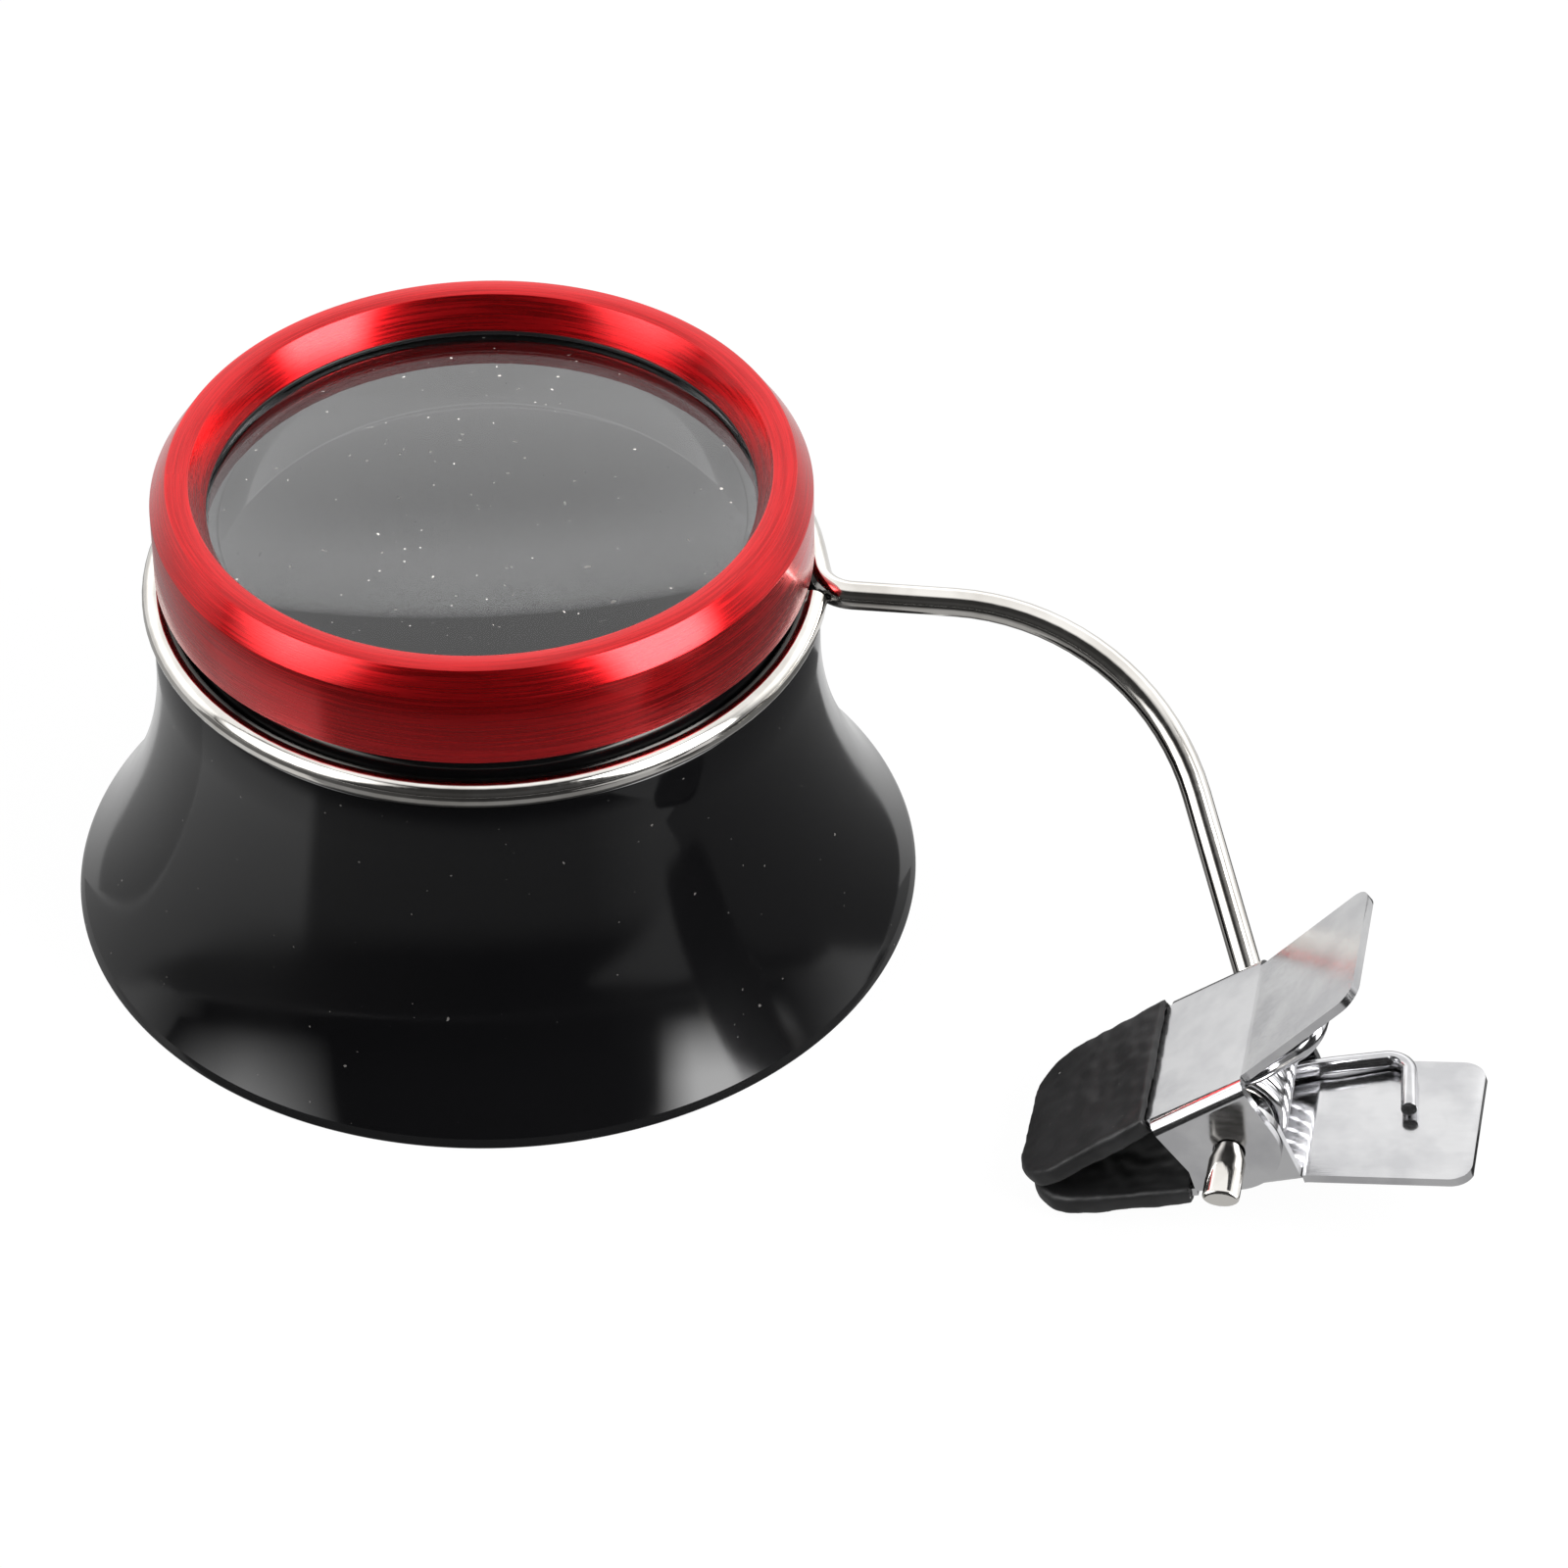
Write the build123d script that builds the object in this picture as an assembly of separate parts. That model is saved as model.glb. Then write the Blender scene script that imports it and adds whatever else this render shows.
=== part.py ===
"""Clip-on eyeglass loupe, in millimetres.

A trumpet-shaped eyecup carries one lens under a screwed ring. A wire hoop lies in a groove round
the eyecup's neck, runs out as an arm, and its last stretch is the pivot pin of a sprung clip.
The eyecup stands on its wide rim at z = 0, the optical axis is Z and the clip lies towards +X.
"""
import os
from math import atan2, cos, degrees, radians, sin, sqrt

from build123d import *

# Clearances between pieces, and the overrun of every cut
SEAT_GAP = 0.02
THREAD_GAP = 0.05
HOOP_GAP = 0.05
PIN_GAP = 0.08
EAR_GAP = 0.1
JAW_GAP = 0.12
LENS_GAP = 0.05
OVERRUN = 1.0

# Eyecup: flared skirt, neck, groove for the hoop, and the spigot that holds the lens. Its radii
# step outwards from the bore, and its heights step upwards from the rim.
BORE_RADIUS = 12.6
LEDGE_WIDTH = 0.95
SPIGOT_WALL = 1.25
SPIGOT_STEP = 0.4
GROOVE_DEPTH = 1.0
FLARE_WIDTH = 4.7
FLARE_HEIGHT = 14.5
NECK_HEIGHT = 3.05
GROOVE_HEIGHT = 2.55
SPIGOT_HEIGHT = 3.04
THROAT_DROP = 0.55
CUP_WALL = 1.3
RIM_CHAMFER = 0.3
SHOULDER_CHAMFER = 0.15
SPIGOT_CHAMFER = 0.25

# Lens: one biconvex glass, dropped into the spigot's seat
LENS_EDGE = 1.6
LENS_CURVE = 100.0
LENS_SINK = 0.05

# Gasket: the black ring that the bezel presses on the lens
GASKET_HEIGHT = 0.22
GASKET_OVERLAP = 0.25

# Bezel: the turned ring that screws over the spigot
BEZEL_WALL = 1.1
BEZEL_SIDE = 3.73
BEZEL_CHAMFER_HEIGHT = 1.21
BEZEL_CHAMFER_WIDTH = 0.77
BEVEL_WIDTH = 0.78
BEVEL_HEIGHT = 1.62
BEZEL_LIP = 0.08
BEZEL_EDGE = 0.12

# Wire: hoop, arm and pivot pin are one bent piece
WIRE_RADIUS = 0.7
HOOP_END_ANGLE = -7.2
HOOP_SWEEP_ANGLE = 345.2
HOOP_EXIT = 3.55
HOOP_BEND = 1.8
ARM_REACH = 15.6
ARM_DROP = 1.32
ARM_RADIUS = 13.0
PIN_BEND = 1.8
PIN_LEAD = 1.25
LUG_GAP = 0.15
LUG_LENGTH = 3.2
LUG_HALF_WIDTH = 0.88
LUG_HALF_THICKNESS = 0.52
LUG_TAPER = 0.6
LUG_ROUND = 0.2

# Clip: place of its pivot, its turn about Z and the slope of the line midway between its levers
PIVOT_REACH = 19.8
PIVOT_Y = -23.61
PIVOT_Z = 6.03
CLIP_YAW_ANGLE = 10.0
CLIP_LEAN_ANGLE = 27.6

# Levers: sheet thickness, plate over the pivot, bends and blades
SHEET = 0.45
SHEET_BEND = 1.5
PLATE_HEIGHT = 3.06
TIP_PLACE = 2.55
TIP_LENGTH = 7.8
TIP_ANGLE = 3.6
TIP_CORNER = 2.1
TIP_HALF_WIDTH = 4.05
TAB_PLACE = 2.9
UPPER_TAB_LENGTH = 7.5
LOWER_TAB_LENGTH = 7.8
TAB_ANGLE = 12.0
TAB_CORNER = 1.1
UPPER_TAB_HALF_WIDTH = 3.92
LOWER_TAB_HALF_WIDTH = 4.12

# Ears: the folded sides that the pin passes through
EAR_HALF_SPAN = 4.75
EAR_FOLD = 0.7
EAR_RADIUS = 2.45
EAR_FRONT = 2.5
EAR_REAR = 2.75

# Rubber sleeves over the lever tips, thinner where they grip
RUBBER = 0.36
RUBBER_INSIDE = 0.2
RUBBER_ROUND = 0.25
SLEEVE_START = 0.2

# Torsion spring round the pin, with a hooked leg on each thumb tab
SPRING_WIRE_RADIUS = 0.4
COIL_RADIUS = 2.1
COIL_PITCH = 1.34
COIL_WHOLE_TURNS = 4
ARCS_PER_TURN = 4
LEG_RUN = 3.3
LEG_BEND = 3.0
HOOK_PLACE = 4.75
HOOK_HALF_SPAN = 3.55
HOOK_LENGTH = 4.5
HOOK_BEND = 1.0
GAP_SAMPLES_PER_TURN = 72

# Sizes that follow from the ones above
LENS_RADIUS = BORE_RADIUS + LEDGE_WIDTH
SPIGOT_RADIUS = LENS_RADIUS + LENS_GAP + SPIGOT_WALL
GROOVE_RADIUS = SPIGOT_RADIUS + SPIGOT_STEP
NECK_RADIUS = GROOVE_RADIUS + GROOVE_DEPTH
RIM_RADIUS = NECK_RADIUS + FLARE_WIDTH
SHOULDER_HEIGHT = FLARE_HEIGHT + NECK_HEIGHT
THROAT_HEIGHT = SHOULDER_HEIGHT - THROAT_DROP
STEP_HEIGHT = SHOULDER_HEIGHT + GROOVE_HEIGHT
GASKET_BORE = LENS_RADIUS - GASKET_OVERLAP
BEZEL_RADIUS = SPIGOT_RADIUS + THREAD_GAP + BEZEL_WALL
BEZEL_FACE_BORE = GASKET_BORE + BEVEL_WIDTH
HOOP_RADIUS = GROOVE_RADIUS + HOOP_GAP + WIRE_RADIUS
HOOP_HEIGHT = SHOULDER_HEIGHT + HOOP_GAP + WIRE_RADIUS
PIVOT_X = HOOP_RADIUS + PIVOT_REACH
SPIGOT_TOP = STEP_HEIGHT + SPIGOT_HEIGHT
LENS_TOP = SPIGOT_TOP - LENS_SINK
GASKET_FLOOR = SPIGOT_TOP + SEAT_GAP
BEZEL_FLOOR = STEP_HEIGHT + SEAT_GAP
LIP_FLOOR = GASKET_FLOOR + GASKET_HEIGHT + SEAT_GAP
BEZEL_TOP = LIP_FLOOR + BEZEL_LIP + BEVEL_HEIGHT
SHEET_MIDDLE = PLATE_HEIGHT - SHEET / 2
LOWER_EAR_HALF_SPAN = EAR_HALF_SPAN - SHEET - EAR_GAP
PIN_HOLE_RADIUS = WIRE_RADIUS + PIN_GAP


def nearest(sketch, x, y):
    """Corner of a sketch that lies nearest to a point."""
    return sketch.vertices().sort_by_distance((x, y, 0))[0]


def turned(profile):
    """Solid of revolution about the optical axis from a radius-height outline."""
    return revolve(Plane.XZ * profile, Axis.Z)


def sagitta(radius):
    """Depth of the lens's face over a circle of a radius."""
    return LENS_CURVE - sqrt(LENS_CURVE**2 - radius**2)


def eyecup():
    """Flared cup that holds the lens's lower face on the mouth of its bore."""
    outer_curve = (FLARE_HEIGHT**2 + FLARE_WIDTH**2) / (2 * FLARE_WIDTH)
    inner_curve = outer_curve + CUP_WALL
    rim_bore = NECK_RADIUS + outer_curve - sqrt(inner_curve**2 - FLARE_HEIGHT**2)
    seat = LENS_RADIUS + LENS_GAP
    ledge = LENS_TOP - LENS_EDGE - sagitta(LENS_RADIUS) + sagitta(BORE_RADIUS) - SEAT_GAP
    outer_neck = (NECK_RADIUS, FLARE_HEIGHT)
    inner_neck = (NECK_RADIUS - CUP_WALL, FLARE_HEIGHT)
    profile = make_face([
        Line((rim_bore, 0), (RIM_RADIUS, 0)),
        TangentArc(outer_neck, (RIM_RADIUS, 0), tangent=(0, -1)),
        Polyline(
            outer_neck,
            (NECK_RADIUS, SHOULDER_HEIGHT),
            (GROOVE_RADIUS, SHOULDER_HEIGHT),
            (GROOVE_RADIUS, STEP_HEIGHT),
            (SPIGOT_RADIUS, STEP_HEIGHT),
            (SPIGOT_RADIUS, SPIGOT_TOP),
            (seat, SPIGOT_TOP),
            (seat, ledge),
            (BORE_RADIUS, ledge),
            (BORE_RADIUS, THROAT_HEIGHT),
            inner_neck,
        ),
        TangentArc(inner_neck, (rim_bore, 0), tangent=(0, -1)),
    ])
    profile = chamfer(nearest(profile, rim_bore, 0), RIM_CHAMFER)
    profile = chamfer(nearest(profile, NECK_RADIUS, SHOULDER_HEIGHT), SHOULDER_CHAMFER)
    profile = chamfer(nearest(profile, SPIGOT_RADIUS, SPIGOT_TOP), SPIGOT_CHAMFER)
    return turned(profile)


def lens():
    """Biconvex lens: a blank between two equal spheres."""
    depth = sagitta(LENS_RADIUS)
    middle = LENS_TOP - LENS_EDGE / 2
    centre_offset = LENS_CURVE - depth - LENS_EDGE / 2
    blank = Pos(0, 0, middle) * Cylinder(LENS_RADIUS, LENS_EDGE + 2 * depth)
    front = Pos(0, 0, middle - centre_offset) * Sphere(LENS_CURVE)
    back = Pos(0, 0, middle + centre_offset) * Sphere(LENS_CURVE)
    return blank & front & back


def lens_gasket():
    """Black ring that lies on the spigot's end and on the lens's edge."""
    width = SPIGOT_RADIUS - GASKET_BORE
    place = Pos(GASKET_BORE + width / 2, GASKET_FLOOR + GASKET_HEIGHT / 2)
    return turned(place * Rectangle(width, GASKET_HEIGHT))


def bezel():
    """Turned ring: plain side, outer chamfer, flat face, inner bevel and the lip over the gasket."""
    bore = SPIGOT_RADIUS + THREAD_GAP
    shoulder = BEZEL_FLOOR + BEZEL_SIDE
    rim_radius = BEZEL_RADIUS - (BEZEL_TOP - shoulder) / BEZEL_CHAMFER_HEIGHT * BEZEL_CHAMFER_WIDTH
    profile = make_face(Polyline(
        (bore, BEZEL_FLOOR),
        (BEZEL_RADIUS, BEZEL_FLOOR),
        (BEZEL_RADIUS, shoulder),
        (rim_radius, BEZEL_TOP),
        (BEZEL_FACE_BORE, BEZEL_TOP),
        (GASKET_BORE, BEZEL_TOP - BEVEL_HEIGHT),
        (GASKET_BORE, LIP_FLOOR),
        (bore, LIP_FLOOR),
        close=True,
    ))
    profile = chamfer(nearest(profile, BEZEL_RADIUS, BEZEL_FLOOR), BEZEL_EDGE)
    return turned(profile)


def clip_place():
    """Location of the clip's own frame: origin on the pivot, X rearward, Y along the pin."""
    return Pos(PIVOT_X, PIVOT_Y, PIVOT_Z) * Rot(0, 0, -CLIP_YAW_ANGLE)


def placed(location, point):
    """A point given in a location's frame, as a vector in the outer frame."""
    return (location * Pos(*point)).position


def pin_point(across):
    """Point of the pin's axis, at a distance from the pivot towards the arm."""
    return placed(clip_place(), (0, across, 0))


def wire_arm():
    """Bent wire: open hoop, arm, and the pin with its flattened end."""
    start = HOOP_END_ANGLE - HOOP_SWEEP_ANGLE
    hoop = Pos(0, 0, HOOP_HEIGHT) * CenterArc((0, 0), HOOP_RADIUS, HOOP_END_ANGLE, -HOOP_SWEEP_ANGLE)
    leave = radians(start)
    hoop_exit = Vector(HOOP_RADIUS * cos(leave), HOOP_RADIUS * sin(leave), HOOP_HEIGHT)
    elbow = hoop_exit + Vector(sin(leave), -cos(leave), 0) * HOOP_EXIT

    # The arm's bend lies in the plane through X and the corner where the pin begins
    corner = pin_point(EAR_HALF_SPAN + PIN_LEAD)
    fall = Vector(0, corner.Y - elbow.Y, corner.Z - elbow.Z).normalized()
    knee = elbow + Vector(ARM_REACH, 0, 0) + fall * ARM_DROP
    pin_end = -EAR_HALF_SPAN - LUG_GAP
    bends = [HOOP_BEND, ARM_RADIUS, PIN_BEND]
    arm = FilletPolyline(hoop_exit, elbow, knee, corner, pin_point(pin_end), radius=bends)
    path = Wire([hoop.edge(), *arm.edges()])
    section = Plane(path @ 0, z_dir=path % 0) * Circle(WIRE_RADIUS)
    return sweep(section, path=path) + clip_place() * pin_lug(pin_end)


def pin_lug(start):
    """Flattened end of the pin, wider than the ears' holes, along -Y from a start."""
    round_end = Plane.XZ.offset(-start) * Circle(WIRE_RADIUS)
    flat_end = Plane.XZ.offset(-start + LUG_TAPER) * Ellipse(LUG_HALF_WIDTH, LUG_HALF_THICKNESS)
    straight = extrude(flat_end, LUG_LENGTH - LUG_TAPER)
    straight = fillet(straight.edges().sort_by(Axis.Y)[0], LUG_ROUND)
    return loft([round_end, flat_end]) + straight


def blade(start, end, half_width, corner):
    """Flat outline of a lever's blade, rounded at the end that points away from the pivot."""
    outline = Pos((start + end) / 2, 0) * Rectangle(abs(end - start), 2 * half_width)
    ordered = outline.vertices().sort_by(Axis.X)
    far_corners = ordered[-2:] if end > start else ordered[:2]
    return fillet(far_corners, corner)


def tip_frame():
    """Frame of the bent tip: origin in the sheet's middle at the bend, -X towards the tip."""
    return Pos(-TIP_PLACE, 0, SHEET_MIDDLE) * Rot(0, -TIP_ANGLE, 0)


def lever(ear_half_span, tab_length, tab_half_width):
    """Sheet lever in its own frame: X rearward along the plate, Z outward, pivot at the origin."""
    tip, tab = radians(TIP_ANGLE), radians(TAB_ANGLE)
    tip_end = -TIP_PLACE - TIP_LENGTH * cos(tip)
    tab_end = TAB_PLACE + tab_length * cos(tab)
    middle_line = FilletPolyline(
        (tip_end, SHEET_MIDDLE - TIP_LENGTH * sin(tip)),
        (-TIP_PLACE, SHEET_MIDDLE),
        (TAB_PLACE, SHEET_MIDDLE),
        (tab_end, SHEET_MIDDLE + tab_length * sin(tab)),
        radius=SHEET_BEND,
    )
    side = trace(middle_line, SHEET)
    flat_half = ear_half_span - EAR_FOLD
    plan = blade(-EAR_FRONT, tip_end, TIP_HALF_WIDTH, TIP_CORNER)
    plan += blade(EAR_REAR, tab_end, tab_half_width, TAB_CORNER)
    plan += Pos((EAR_REAR - EAR_FRONT) / 2, 0) * Rectangle(EAR_REAR + EAR_FRONT, 2 * flat_half)
    reach = PLATE_HEIGHT + tab_length
    sheet = extrude(Plane.XZ * side, EAR_HALF_SPAN, both=True) & extrude(plan, reach, both=True)
    holes = Rot(90, 0, 0) * Cylinder(PIN_HOLE_RADIUS, 2 * (ear_half_span + OVERRUN))
    return sheet + ears(ear_half_span) - holes


def ears(half_span):
    """Folded channel over the pivot, cut to the round-ended outline of its ears."""
    depth = PLATE_HEIGHT + EAR_RADIUS
    outer = Pos(0, PLATE_HEIGHT - depth / 2) * Rectangle(2 * half_span, depth)
    outer = fillet(outer.vertices().sort_by(Axis.Y)[-2:], EAR_FOLD)
    inner = Pos(0, PLATE_HEIGHT - SHEET - depth / 2) * Rectangle(2 * (half_span - SHEET), depth)
    inner = fillet(inner.vertices().sort_by(Axis.Y)[-2:], EAR_FOLD - SHEET)
    length = EAR_FRONT + EAR_REAR + 2 * EAR_RADIUS
    channel = extrude(Plane.YZ * (outer - inner), length, both=True)
    outline = make_hull([
        CenterArc((0, 0), EAR_RADIUS, 180, 180),
        Line((-EAR_FRONT, PLATE_HEIGHT), (EAR_REAR, PLATE_HEIGHT)),
    ])
    return channel & extrude(Plane.XZ * outline, half_span, both=True)


def tip_block(grown, grown_inside):
    """The lever's tip in its own frame, grown all round and by another amount on its inner face."""
    length = TIP_LENGTH + grown
    half_width = TIP_HALF_WIDTH + grown
    plan = blade(-SLEEVE_START, -length, half_width, TIP_CORNER + grown)
    return extrude(Pos(0, 0, -SHEET / 2 - grown_inside) * plan, SHEET + grown + grown_inside)


def sleeve():
    """Rubber cap over a lever's tip, in the lever's frame."""
    cap = tip_block(RUBBER, RUBBER_INSIDE)
    rear = cap.faces().sort_by(Axis.X)[-1]
    rims = cap.edges() - rear.edges() - cap.edges().filter_by(Axis.Z)
    cap = fillet(rims, RUBBER_ROUND)
    pocket = tip_block(SEAT_GAP, SEAT_GAP) + Pos(OVERRUN - SLEEVE_START, 0, 0) * Box(
        2 * OVERRUN, 2 * (TIP_HALF_WIDTH + SEAT_GAP), SHEET + 2 * SEAT_GAP
    )
    return tip_frame() * (cap - pocket)


def jaw_half_angle():
    """Slope of each lever's plate to the midline, with the sleeves' tips just apart."""
    run = TIP_LENGTH + RUBBER
    inside = SHEET / 2 + RUBBER_INSIDE
    tip = radians(TIP_ANGLE)
    x = TIP_PLACE + run * cos(tip) - inside * sin(tip)
    z = SHEET_MIDDLE - run * sin(tip) - inside * cos(tip)
    return degrees(atan2(z - JAW_GAP / 2, x))


def upper_slope():
    """Slope of the upper lever's plate."""
    return CLIP_LEAN_ANGLE + jaw_half_angle()


def lower_slope():
    """Slope of the lower lever's plate."""
    return CLIP_LEAN_ANGLE - jaw_half_angle()


def upper_side(shape):
    """Place a shape from a lever's frame on the clip's upper side."""
    return clip_place() * Rot(0, -upper_slope(), 0) * shape


def lower_side(shape):
    """Place a shape from a lever's frame, turned over, on the clip's lower side."""
    return clip_place() * Rot(0, -lower_slope(), 0) * mirror(shape, Plane.XY)


def spring_leg(coil_half, slope, side):
    """Points of a leg in its lever's frame, from the coil to the hook's cut end."""
    tab = radians(TAB_ANGLE)
    lift = SHEET / 2 + SPRING_WIRE_RADIUS + SEAT_GAP
    hook_x = TAB_PLACE + HOOK_PLACE * cos(tab) + lift * sin(tab)
    hook_z = SHEET_MIDDLE + HOOK_PLACE * sin(tab) - lift * cos(tab)
    knee = (LEG_RUN, side * (coil_half + slope * LEG_RUN), COIL_RADIUS)
    hook = (hook_x, side * HOOK_HALF_SPAN, hook_z)
    end = (hook_x, side * (HOOK_HALF_SPAN - HOOK_LENGTH), hook_z)
    return [knee, hook, end]


def coil_point(angle, across):
    """Point of the coil's middle line: angle from +X towards +Z, distance along the pin."""
    return Vector(COIL_RADIUS * cos(angle), across, COIL_RADIUS * sin(angle))


def biarc(start, start_way, end, end_way):
    """Two arcs that meet smoothly and run from one point and direction to another."""
    chord = end - start
    ways = start_way + end_way
    spread = 2 * (1 - start_way.dot(end_way))
    reach = (sqrt(chord.dot(ways) ** 2 + spread * chord.dot(chord)) - chord.dot(ways)) / spread
    joint = (start + end + (start_way - end_way) * reach) / 2
    first = TangentArc(start, joint, tangent=start_way)
    second = TangentArc(joint, end, tangent=first % 1)
    return [first.edge(), second.edge()]


def spring_path():
    """Middle line of the torsion spring in the clip's frame, hook to hook."""
    first = radians(upper_slope() + 90)
    last = radians(lower_slope() + 270 + 360 * COIL_WHOLE_TURNS)
    turns = (last - first) / radians(360)
    coil_half = turns * COIL_PITCH / 2
    slope = COIL_PITCH / (COIL_RADIUS * radians(360))
    count = round(turns * ARCS_PER_TURN)
    edges = []
    stops = []
    for index in range(count + 1):
        angle = first + (last - first) * index / count
        across = coil_half * (2 * index / count - 1)
        way = Vector(-sin(angle), slope, cos(angle)).normalized()
        stops.append((coil_point(angle, across), way))
    for (start, start_way), (end, end_way) in zip(stops, stops[1:]):
        edges += biarc(start, start_way, end, end_way)
    upper = [placed(Rot(0, -upper_slope(), 0), point) for point in spring_leg(coil_half, slope, -1)]
    lower = [placed(Rot(0, -lower_slope(), 0), (x, y, -z)) for x, y, z in spring_leg(coil_half, slope, 1)]
    bends = [HOOK_BEND, LEG_BEND]
    lead_in = FilletPolyline(*reversed(upper), stops[0][0], radius=bends)
    lead_out = FilletPolyline(stops[-1][0], *lower, radius=bends[::-1])
    return Wire([*lead_in.edges(), *edges, *lead_out.edges()])


def least_self_gap(path, turns):
    """Smallest space between stretches of the wire that lie half a turn or more apart."""
    samples = round(turns * GAP_SAMPLES_PER_TURN)
    points = [path @ (index / samples) for index in range(samples + 1)]
    apart = GAP_SAMPLES_PER_TURN // 2
    nearest_pair = min(
        (points[one] - points[two]).length
        for one in range(samples + 1)
        for two in range(one + apart, samples + 1)
    )
    return nearest_pair - 2 * SPRING_WIRE_RADIUS


def torsion_spring():
    """Round wire swept along the spring's whole line."""
    path = spring_path()
    turns = path.length / (COIL_RADIUS * radians(360))
    print("spring: least gap to itself", round(least_self_gap(path, turns), 3), "mm")
    section = Plane(path @ 0, z_dir=path % 0) * Circle(SPRING_WIRE_RADIUS)
    return clip_place() * sweep(section, path=path)


def main():
    """Build every node and write its file."""
    nodes = {
        "eyecup": eyecup(),
        "lens": lens(),
        "lens_gasket": lens_gasket(),
        "bezel": bezel(),
        "wire_arm": wire_arm(),
        "upper_lever": upper_side(lever(EAR_HALF_SPAN, UPPER_TAB_LENGTH, UPPER_TAB_HALF_WIDTH)),
        "lower_lever": lower_side(
            lever(LOWER_EAR_HALF_SPAN, LOWER_TAB_LENGTH, LOWER_TAB_HALF_WIDTH)
        ),
        "upper_sleeve": upper_side(sleeve()),
        "lower_sleeve": lower_side(sleeve()),
        "torsion_spring": torsion_spring(),
    }
    os.makedirs("parts", exist_ok=True)
    for name, shape in nodes.items():
        export_step(shape, f"parts/{name}.step")
        box = shape.bounding_box()
        print(name, "lowest", round(box.min.Z, 2), "solids", len(shape.solids()))


if __name__ == "__main__":
    main()
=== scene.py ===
"""Looks of the clip-on eyeglass loupe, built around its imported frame.

The eyecup, lens, gasket and red ring are spun anew at the frame's sizes, the sheet and rubber
pieces are softened copies of the frame's nodes, and the torsion spring is wound close as the real
one is. Lengths in the sizes are millimetres, and the meshes are in metres.
"""

import logging
import math
from dataclasses import dataclass, replace
from enum import Enum
from typing import Any

import bmesh
import bpy
from mathutils import Matrix, Vector, noise


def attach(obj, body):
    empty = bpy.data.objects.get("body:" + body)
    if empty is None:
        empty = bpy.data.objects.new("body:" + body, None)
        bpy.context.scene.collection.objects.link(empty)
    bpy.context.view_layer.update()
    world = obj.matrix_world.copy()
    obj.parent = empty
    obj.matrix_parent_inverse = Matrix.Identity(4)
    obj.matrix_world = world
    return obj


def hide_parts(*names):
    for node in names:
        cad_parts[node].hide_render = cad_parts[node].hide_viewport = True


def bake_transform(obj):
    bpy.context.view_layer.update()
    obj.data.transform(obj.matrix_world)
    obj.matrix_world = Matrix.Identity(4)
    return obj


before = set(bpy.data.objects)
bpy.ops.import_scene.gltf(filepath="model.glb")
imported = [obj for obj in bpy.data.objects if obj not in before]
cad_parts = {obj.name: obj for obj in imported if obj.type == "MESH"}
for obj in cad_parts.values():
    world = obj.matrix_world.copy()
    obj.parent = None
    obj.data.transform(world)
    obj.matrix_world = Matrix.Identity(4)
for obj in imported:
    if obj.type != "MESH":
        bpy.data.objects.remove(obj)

MM = 0.001
FULL_TURN = math.tau
WHITE = (1.0, 1.0, 1.0, 1.0)
# Points nearer than this, in metres, are one point: in a new mesh, and in a copy of a node
MERGE, COPY_MERGE = 1e-7, 1e-6
# Numbers of the Mix node's sockets for colours: the first and second, and the mixed one
FIRST_COLOUR, SECOND_COLOUR, MIXED_COLOUR = 6, 7, 2
log = logging.getLogger("loupe")


class Body(Enum):
    """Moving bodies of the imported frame."""

    EYEPIECE = "eyepiece"
    GASKET_RING = "gasket_ring"
    SCREW_RING = "screw_ring"
    WIRE = "wire"
    UPPER_JAW = "upper_jaw"
    LOWER_JAW = "lower_jaw"


class Slot(Enum):
    """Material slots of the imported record."""

    BLACK_PLASTIC = "black_plastic"
    LENS_GLASS = "lens_glass"
    GASKET_RUBBER = "gasket_rubber"
    RED_ANODISED = "red_anodised"
    BRIGHT_WIRE = "bright_wire"
    NICKEL_SHEET = "nickel_sheet"
    SPRING_WIRE = "spring_wire"
    BLACK_RUBBER = "black_rubber"


def linear(hex_colour: str) -> tuple[float, float, float, float]:
    """Turns an sRGB hex colour to linear light.

    Args:
        hex_colour: six hex digits after a hash sign.

    Returns:
        The linear red, green and blue with an alpha of 1.
    """
    parts = [int(hex_colour[i:i + 2], 16) / 255 for i in (1, 3, 5)]
    low = [p / 12.92 if p <= 0.04045 else ((p + 0.055) / 1.055) ** 2.4 for p in parts]
    return (low[0], low[1], low[2], 1.0)


def add_node(
    tree: bpy.types.NodeTree,
    kind: str,
    settings: dict[str | int, Any] | None = None,
    links: dict[str | int, bpy.types.Node | bpy.types.NodeSocket] | None = None,
) -> bpy.types.Node:
    """Adds a node with its settings and its incoming links.

    Args:
        tree: the node tree.
        kind: the node's type name.
        settings: values by property name, or by input name or number. The stops of a colour ramp
            are pairs of a place and a grey level.
        links: what feeds each input, which is a socket, or a node by its first output.

    Returns:
        The new node.
    """
    node = tree.nodes.new(kind)
    for name, value in (settings or {}).items():
        if name == "stops":
            elements = node.color_ramp.elements
            for place, _ in value[2:]:
                elements.new(place)
            for element, (place, level) in zip(elements, value):
                element.position, element.color = place, (level, level, level, 1.0)
        elif isinstance(name, int) or name in node.inputs:
            node.inputs[name].default_value = value
        else:
            setattr(node, name, value)
    for name, source in (links or {}).items():
        socket = source.outputs[0] if isinstance(source, bpy.types.Node) else source
        tree.links.new(socket, node.inputs[name])
    return node


def spread(
    given: tuple[float, float], wanted: tuple[float, float] = (0.0, 1.0)
) -> dict[str, float]:
    """Settings that map one range of values to another.

    Args:
        given: the range that comes in.
        wanted: the range that goes out, held at both ends.

    Returns:
        The settings by input name.
    """
    return {"From Min": given[0], "From Max": given[1], "To Min": wanted[0], "To Max": wanted[1]}


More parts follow.
